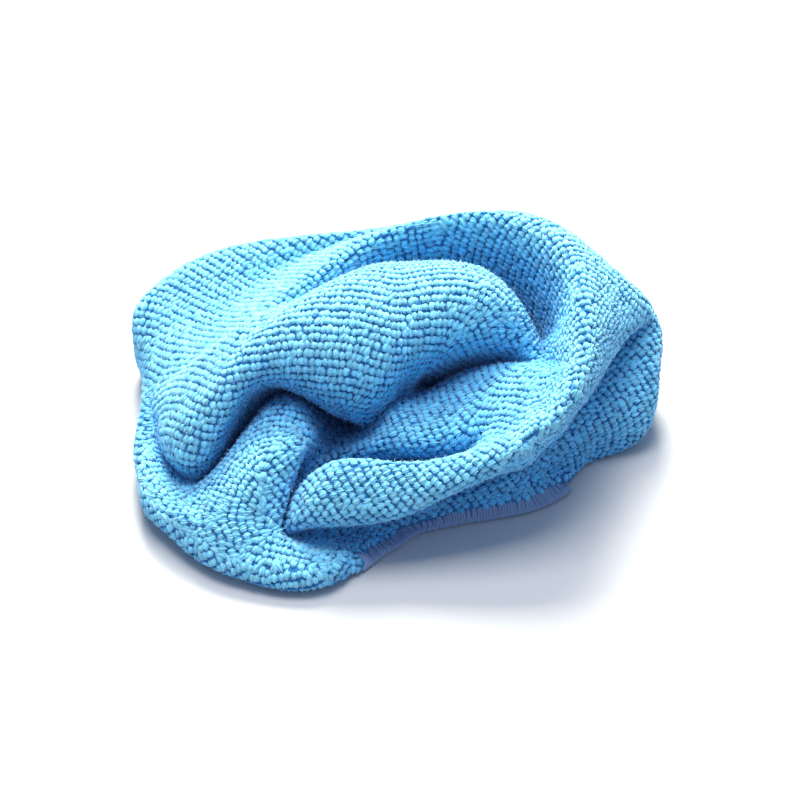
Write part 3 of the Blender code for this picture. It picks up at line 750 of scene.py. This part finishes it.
def nap_piece(name, loops):
    """Three-sided slivers on the loops given, as one mesh."""
    loops = picked(loops, np.repeat(np.arange(len(loops["spot"])), FIBRES))
    count = len(loops["spot"])
    lift = random.uniform(LOW_ROOT, 1, count)
    turn = random.uniform(0, 2 * math.pi, count)
    level = np.sqrt(1 - lift ** 2)
    wide, long = level * np.cos(turn), level * np.sin(turn)
    root = (loops["spot"] + (wide * LOOP / 2)[:, None] * loops["wide"]
            + (long * loops["reach"] / 2)[:, None] * loops["long"]
            + (PILE_OUT - LOOP_HIGH / 2 * (1 - lift))[:, None] * loops["up"])
    heading = unit(wide[:, None] * loops["wide"] + long[:, None] * loops["long"]
                   + RISING * lift[:, None] * loops["up"] + random.normal(0, STRAY, (count, 3)))
    side = unit(np.cross(heading, random.normal(0, 1, (count, 3)))) * FIBRE_WIDE / 2
    far = random.uniform(FIBRE_SHORT, 1, count)[:, None] * FIBRE_LONG
    middle = root + far * heading / 2
    tip = root + far * unit(heading + random.normal(0, CURL, (count, 3)))
    at = np.stack([root - side, root + side, middle - side, middle + side, tip], axis=1)
    sliver = np.array([(0, 1, 3), (0, 3, 2), (2, 3, 4)])
    return mesh_object(name, on_floor(at.reshape(-1, 3)), copies(sliver, 5, count))


def feed(tree, made, fed):
    """Put numbers and colours on the node's inputs, and join other nodes' outputs to them."""
    for key, value in fed.items():
        if isinstance(value, bpy.types.NodeSocket):
            tree.links.new(value, made.inputs[key])
        else:
            made.inputs[key].default_value = value


def look(name, settings):
    """A new material with these settings of its shader, and its nodes and shader."""
    made = bpy.data.materials.new(name)
    made.use_nodes = True
    shader = made.node_tree.nodes["Principled BSDF"]
    feed(made.node_tree, shader, settings)
    return made, made.node_tree, shader


def node(tree, kind, fed, **settings):
    """A new node of the kind named, and what its inputs are fed."""
    made = tree.nodes.new(kind)
    for key, value in settings.items():
        setattr(made, key, value)
    feed(tree, made, fed)
    return made


def number_at(tree, name):
    """The number of this name that was given to each point."""
    return node(tree, "ShaderNodeAttribute", {}, attribute_name=name).outputs["Fac"]


def ramp(tree, source, first, last, *between):
    """Colours that follow the source through stops of (place, colour)."""
    made = node(tree, "ShaderNodeValToRGB", {"Fac": source})
    stops = made.color_ramp.elements
    for stop, (place, colour) in zip(stops, (first, last)):
        stop.position, stop.color = place, colour + (1.0,)
    for place, colour in between:
        stops.new(place).color = colour + (1.0,)
    return made.outputs["Color"]


def soft_light(name, place, wide, power, colour):
    """A square lamp at the place, turned towards the heap."""
    lamp = bpy.data.lights.new(name, "AREA")
    lamp.size, lamp.energy, lamp.color = wide, power, colour
    holder = bpy.data.objects.new(name, lamp)
    bpy.context.scene.collection.objects.link(holder)
    holder.location = place
    holder.rotation_euler = (-Vector(place)).to_track_quat("-Z", "Y").to_euler()


# ---- fold the sheet ----
home = bpy.data.collections.new("microfibre_cloth_looks")
bpy.context.scene.collection.children.link(home)
random = np.random.default_rng(7)

wanted, cells = net()
points = wanted.copy()
for _ in range(FITTING):
    points += wanted - smooth_limit(points, cells)
coarse_points, coarse_faces = halved(points * UNIT, cells, HALVINGS)
coarse_points = keep_apart(coarse_points, coarse_faces, THICK + AIR)
shift = (coarse_points[:, :2].min(axis=0) + coarse_points[:, :2].max(axis=0)) / 2
coarse_points[:, :2] -= shift
coarse_quads = np.array(coarse_faces)

points, faces = halved(coarse_points, coarse_faces, 1)
outward = normals_of(points, np.array(faces))
sheet_tree = BVHTree.FromPolygons([Vector(p) for p in points], faces)

# ---- lay out flat what can be seen: the folds, the sides down to the foot, and the apron ----
grid_cells = (len(FOLDS) - 1) * (STATIONS - 1)
ring_cells = len(cells) - grid_cells
ring, station = np.divmod(np.arange(ring_cells), ring_cells // len(RINGS))
in_sight = (ring < RINGS_SEEN) | ((station >= APRON_SEEN[0]) & (station <= APRON_SEEN[1]))
in_sight = np.repeat(np.concatenate([np.ones(grid_cells, bool), in_sight]), 4 ** HALVINGS)
shown, outer_quads = np.unique(coarse_quads[in_sight], return_inverse=True)
outer_quads = outer_quads.reshape(-1, 4)
outer_faces = [tuple(face) for face in outer_quads.tolist()]
flat = laid_flat(coarse_points[shown], outer_faces)

# the number that rises by a metre for each metre across the ribs, which follow the roll's crest
left, right = np.searchsorted(shown, CREST * STATIONS + np.array(STRETCH))
along_crest = unit(flat[None, right] - flat[None, left])[0]
across_crest = np.array([-along_crest[1], along_crest[0]])
across_ribs = even_ribs(flat @ across_crest, coarse_points[shown], outer_quads)
laid = halved(np.column_stack([flat, across_ribs]), outer_faces, 1)[0]
flat, across_ribs = laid[:, :2], laid[:, 2]

outer_points, outer_faces = halved(coarse_points[shown], outer_faces, 1)
outer_quads = np.array(outer_faces)
outer_corners = np.vstack([outer_quads[:, [0, 1, 2]], outer_quads[:, [0, 2, 3]]])
outer_out = normals_of(outer_points, outer_quads)
of_faces = np.linalg.norm(Slopes(outer_points, outer_quads).rise(across_ribs), axis=1)
corner = outer_quads.ravel()
steepness = np.bincount(corner, np.repeat(of_faces, 4)) / np.bincount(corner)

# ---- stand loops along the ribs ----
ribs = []
for one, other, share in rib_lines(across_ribs, outer_corners, RIB):
    line, out, laid, steep = (held[one] * (1 - share[:, None]) + held[other] * share[:, None]
                              for held in (outer_points, outer_out, flat, steepness[:, None]))
    gone = gone_along(line)
    if gone[-1] < SHORTEST:
        continue
    marks = np.arange(random.uniform(0, LOOP), gone[-1], LOOP)
    marks += random.normal(0, UNEVEN * LOOP, len(marks))
    ribs.append({"spot": at_marks(marks, gone, line),
                 "up": at_marks(marks, gone, out),
                 "along": at_marks(marks + LOOP / 2, gone, line) - at_marks(marks - LOOP / 2, gone, line),
                 "reach": at_marks(marks, gone, RIB / steep)[:, 0],
                 "flat": at_marks(marks, gone, laid)})
loops = {name: np.concatenate([rib[name] for rib in ribs]) for name in ribs[0]}
loops["up"] = unit(loops["up"])

# ---- sew the hem over the edge where it can be seen ----
rim_points = in_order(sides_once(faces))
rim = points[rim_points]
for _ in range(RIM_EASED):
    rim = (np.roll(rim, 1, axis=0) + 2 * rim + np.roll(rim, -1, axis=0)) / 4
closed = np.vstack([rim, rim[:1]])
gone = gone_along(closed)
marks = np.arange(0, gone[-1], STITCH)
marks += random.normal(0, STITCH_UNEVEN * STITCH, len(marks))
here, ahead, behind = (at_marks((marks + step) % gone[-1], gone, closed)
                       for step in (0, 1.5 * STITCH, -1.5 * STITCH))
along_hem = unit(ahead - behind)
in_view = openness(here + ABOVE_RIM) > 0
sewn = np.any([np.roll(in_view, step) for step in range(-RUN_ON, RUN_ON + 1)], axis=0)
strands = []
for n in np.nonzero(sewn)[0]:
    out = outward[np.argmin(np.linalg.norm(points - here[n], axis=1))]
    strands.append(stitch(Vector(here[n]), Vector(along_hem[n]), Vector(out)))
hem_points = on_floor(np.concatenate(strands))
strand_faces = tube(len(strands[0]) // SIDES)
hem = mesh_object("oversewn_hem", hem_points, copies(strand_faces, len(strands[0]), len(strands)))

# ---- where ribs crowd, thin the loops out; where ribs part, fill in with more ----
loops = picked(loops, spaced(np.empty((0, 3)), loops["spot"], CROWDED))
more = {name: np.vstack([held, held[outer_quads].mean(axis=1)])
        for name, held in (("spot", outer_points), ("up", outer_out), ("flat", flat))}
more = picked(more, random.permutation(len(more["spot"])))
more = picked(more, spaced(loops["spot"], more["spot"], BARE))
rib_tree = tree_of(loops["spot"])
more["along"] = loops["along"][[rib_tree.find(Vector(spot))[1] for spot in more["spot"]]]
more["reach"] = np.full(len(more["spot"]), FILL_IN)
loops = {name: np.concatenate([held, more[name]]) for name, held in loops.items()}
loops["up"] = unit(loops["up"])

# ---- leave out the loops that can't be seen from above, and those under the hem's thread ----
# how much sky each loop sees: it decides which loops are left out, and the pile's material paints shade from
# it
loops["open_sky"] = openness(loops["spot"] + CLEAR * loops["up"])
beside_open = how_far(loops["spot"], tree_of(loops["spot"][loops["open_sky"] > 0])) < BESIDE_OPEN
outer_rim = np.unique(sides_once(outer_faces))
outer_rim = outer_rim[how_far(outer_points[outer_rim], tree_of(points[rim_points])) < SAME_RIM]
outer_rim = outer_rim[openness(outer_points[outer_rim] + ABOVE_RIM) > 0]
off_rim = how_far(in_space(loops["flat"]), tree_of(in_space(flat[outer_rim]))) > HEM_BARE
off_thread = how_far(loops["spot"], tree_of(hem_points)) > OFF_THREAD
loops = picked(loops, (off_rim | off_thread) & beside_open)

# ---- the pile and its nap ----
up, along = loops["up"], loops["along"]
count = len(up)
loops["wide"] = unit(along - (along * up).sum(axis=1)[:, None] * up)
loops["long"] = unit(np.cross(up, loops["wide"]))
loops["spot"] += ASTRAY * RIB * random.normal(0, 1, count)[:, None] * loops["long"]
loops["size"] = random.normal(1, LOOP_SIZES, (count, 3))
loops["lean"] = random.normal(0, LOOP_LEANS, (count, 3))
loops["shade"] = random.uniform(0, 1, count)
loops = picked(loops, np.argsort(loops["spot"][:, 0]))
pile = [pile_piece("pile_%d" % (n + 1), picked(loops, chosen))
        for n, chosen in enumerate(np.array_split(np.arange(count), PILE_PIECES))]
# only loops that see enough sky get the paler fibres of the painted sheen
fuzzy = np.nonzero(loops["open_sky"] > FUZZY)[0]
nap = [nap_piece("nap_%d" % (n + 1), picked(loops, chosen))
       for n, chosen in enumerate(np.array_split(fuzzy, NAP_PIECES))]

# ---- the knitted ground, let down where the sheet is hollow and its faces would stand over the pile ----
coarse_out = normals_of(coarse_points, coarse_quads)
middle_proud = proud(coarse_points[coarse_quads].mean(axis=1), unit(coarse_out[coarse_quads].mean(axis=1)))
let_down = proud(coarse_points, coarse_out)
for k in range(4):
    np.maximum.at(let_down, coarse_quads[:, k], LET_DOWN * middle_proud)
let_down = np.minimum(let_down, GROUND_IN)[:, None]
ground_points = np.vstack([coarse_points + (GROUND_OUT - let_down) * coarse_out,
                           coarse_points - (GROUND_IN + let_down) * coarse_out])
height = ground_points[:, 2]
pressed = np.maximum(0, (height - PRESSED) * LOW / (LOW - PRESSED))
ground_points[:, 2] = np.where(height < LOW, pressed, height)
total = len(coarse_points)
coarse_rim = set(sides_once(coarse_faces))
edge = [(b, a, a + total, b + total) for face in coarse_faces for a, b in zip(face, face[1:] + face[:1])
        if (min(a, b), max(a, b)) in coarse_rim]
ground_faces = np.vstack([coarse_quads, coarse_quads[:, ::-1] + total, edge])
ground = mesh_object("knitted_ground", ground_points, ground_faces)
# how much sky the ground sees, which its material turns into painted shade
give(ground, "open_sky", np.tile(openness(coarse_points + CLEAR * coarse_out), 2))

# ---- materials ----
pile_look, tree, shader = look("sky_blue_pile", {
    "Roughness": 0.85, "Specular IOR Level": 0.25,
    "Sheen Weight": 0.6, "Sheen Roughness": 0.45, "Sheen Tint": (0.86, 0.88, 1.0, 1.0)})
own = number_at(tree, "own_shade")
# painted shade: each ply's colour darkens from tip to root, standing in for the shade that falls between the
# loops
painted_root_shade = ramp(tree, number_at(tree, "root_to_tip"),
                 (0.0, (0.045, 0.27, 0.55)), (0.95, (0.28, 0.75, 0.89)),
                 (0.45, (0.11, 0.47, 0.75)), (0.7, (0.2, 0.65, 0.84)))
# painted shade: colour is multiplied darker and bluer where a loop sees less sky, in creases, hollows and
# under folds
painted_hollow_shade = ramp(tree, number_at(tree, "open_sky"),
              (0.0, (0.01, 0.05, 0.2)), (0.8, (1.0, 1.0, 1.0)),
              (0.08, (0.08, 0.22, 0.5)), (0.2, (0.3, 0.53, 0.78)), (0.45, (0.42, 0.72, 0.95)))
shaded = node(tree, "ShaderNodeMix", {"Factor": 1.0, "A": painted_root_shade, "B": painted_hollow_shade},
              data_type="RGBA", blend_type="MULTIPLY")
spread = node(tree, "ShaderNodeMapRange", {"Value": own, "To Min": 0.85, "To Max": 1.15})
varied = node(tree, "ShaderNodeHueSaturation",
              {"Value": spread.outputs["Result"], "Color": shaded.outputs["Result"]})

# fine strands that run along each ply, different ones in each loop
unlike = node(tree, "ShaderNodeMath", {0: own, 1: 40}, operation="MULTIPLY")
streaks = node(tree, "ShaderNodeCombineXYZ", {"X": number_at(tree, "across"), "Y": unlike.outputs[0]})
strand = node(tree, "ShaderNodeTexNoise", {"Vector": streaks.outputs["Vector"], "Scale": 2.6, "Detail": 2})
bump = node(tree, "ShaderNodeBump", {"Strength": 0.7, "Distance": 0.35e-3, "Height": strand.outputs["Fac"]})
feed(tree, shader, {"Base Color": varied.outputs["Color"], "Normal": bump.outputs["Normal"]})

# painted sheen: the fibres are paler and more lilac than the pile, standing in for the pale haze that light
# makes on the cloth's rims
nap_look = look("nap_painted_sheen", {
    "Base Color": (0.46, 0.72, 0.98, 1.0), "Roughness": 0.9, "Specular IOR Level": 0.1})[0]
hem_look = look("lilac_blue_thread", {
    "Base Color": (0.24, 0.34, 0.52, 1.0), "Roughness": 0.8, "Sheen Weight": 0.3})[0]
# painted shade: the ground between the loops is much darker than the loops, and darker still where it sees
# less sky
ground_look, tree, shader = look("knitted_ground_painted_shade", {"Roughness": 0.95})
knit_painted_shade = ramp(tree, number_at(tree, "open_sky"), (0.0, (0.008, 0.05, 0.18)), (0.7, (0.045, 0.26, 0.54)))
feed(tree, shader, {"Base Color": knit_painted_shade})
for things, made in ((pile, pile_look), (nap, nap_look), ([hem], hem_look), ([ground], ground_look)):
    for thing in things:
        thing.data.materials.append(made)

# ---- floor, light and camera ----
bpy.ops.mesh.primitive_plane_add(size=4)
floor = bpy.context.object
floor.name = "floor"
floor.data.materials.append(look("pale_floor", {"Base Color": (0.54, 0.54, 0.54, 1.0), "Roughness": 0.7})[0])

scene = bpy.context.scene
scene.world = bpy.data.worlds.new("studio")
scene.world.use_nodes = True
sky = scene.world.node_tree.nodes["Background"]
sky.inputs["Color"].default_value = (0.52, 0.67, 1.0, 1.0)
sky.inputs["Strength"].default_value = 0.6
scene.view_settings.view_transform = "Standard"
soft_light("key", (-0.05, 0.7, 0.72), 0.4, 24.5, (1.0, 0.96, 0.82))
soft_light("overhead", (-0.05, 0.15, 1.0), 0.5, 9, (0.98, 0.97, 0.95))

camera = bpy.data.objects.new("camera", bpy.data.cameras.new("camera"))
scene.collection.objects.link(camera)
scene.camera = camera
target = Vector((-shift[0], -shift[1], LOOK_AT * UNIT))
back = Vector((0, -math.cos(ELEVATION), math.sin(ELEVATION)))
camera.location = target + AWAY * UNIT * back
camera.rotation_euler = (-back).to_track_quat("-Z", "Y").to_euler()
camera.data.lens = camera.data.sensor_width * (AWAY / PIXEL) / PICTURE
camera.data.shift_x = RIGHT / PICTURE
camera.data.shift_y = UP / PICTURE

for thing in pile + nap + [ground, hem]:
    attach(thing, "root")
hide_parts("cloth")
